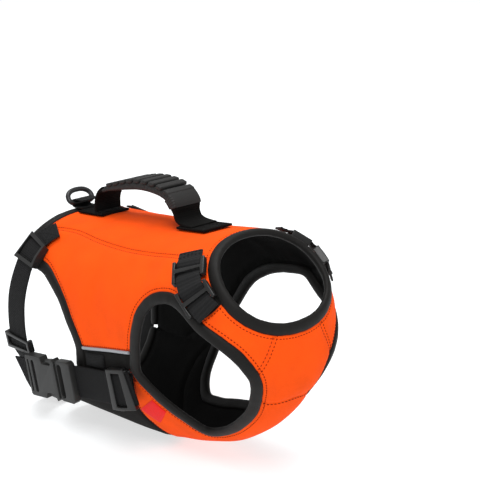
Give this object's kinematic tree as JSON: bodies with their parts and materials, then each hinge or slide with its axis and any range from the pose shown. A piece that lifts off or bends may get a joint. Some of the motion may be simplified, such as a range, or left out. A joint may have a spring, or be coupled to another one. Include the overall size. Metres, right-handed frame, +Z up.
{
  "type": "dog vest",
  "caption": "Filled-out dog vest of orange foam cloth with black bindings, a back handle, a leash ring, adjustable straps and a buckled belly belt.",
  "frame": {"origin": "on the lining under the middle of the back panel, where the dog's back carries the vest", "axes": "+X towards the dog's left, +Y towards the dog's tail, +Z up"},
  "size_m": [0.1656, 0.3171, 0.237],
  "materials": {
    "orange_cloth": "orange knit on foam, black lining",
    "black_cloth": "black knit on foam",
    "binding": "black knit over padding",
    "webbing": "black woven webbing",
    "plastic": "moulded",
    "grip": "moulded, ribbed",
    "reflective": "grey reflective tape",
    "label": "red woven label, left bare",
    "ring_metal": "dark coated"
  },
  "bodies": {
    "vest": {"back_panel": "orange_cloth", "belly_binding": "binding", "belly_pad": "black_cloth", "belly_panel": "orange_cloth", "belt_keeper": "webbing", "belt_slider": "plastic", "belt_tail": "webbing", "belt_webbing": "webbing", "buckle_prong": "plastic", "buckle_socket": "plastic", "chest_centre": "orange_cloth", "chest_side_left": "orange_cloth", "chest_side_right": "orange_cloth", "corner_ring_right": "plastic", "d_ring_webbing": "webbing", "girth_strap": "webbing", "handle_grip": "grip", "handle_tab_front": "webbing", "handle_tab_rear": "webbing", "handle_webbing_front": "webbing", "handle_webbing_rear": "webbing", "leg_binding_left": "binding", "leg_binding_right": "binding", "lower_binding_left": "binding", "lower_slider_left": "plastic", "neck_binding": "binding", "patch_left": "webbing", "rear_binding": "binding", "rear_slider_left": "plastic", "rear_slider_right": "plastic", "rear_strap_left": "webbing", "rear_strap_right": "webbing", "reflective_piping_left": "reflective", "reflective_piping_right": "reflective", "shoulder_gusset_left": "black_cloth", "shoulder_gusset_right": "black_cloth", "shoulder_slider_lower_left": "plastic", "shoulder_slider_lower_right": "plastic", "shoulder_slider_upper_left": "plastic", "shoulder_slider_upper_right": "plastic", "shoulder_strap_left": "webbing", "shoulder_strap_right": "webbing", "side_band_left": "black_cloth", "side_band_right": "black_cloth", "side_label": "label", "side_panel_left": "orange_cloth", "side_panel_right": "orange_cloth"},
    "d_ring": {"d_ring": "ring_metal"}
  },
  "joints": [
    {"name": "d_ring_hinge", "type": "hinge", "parent": "vest", "child": "d_ring", "pos_m": [0, 0.112, -0.00484], "axis": [1, 0, 0], "range_deg": [-45, 80]}
  ]
}
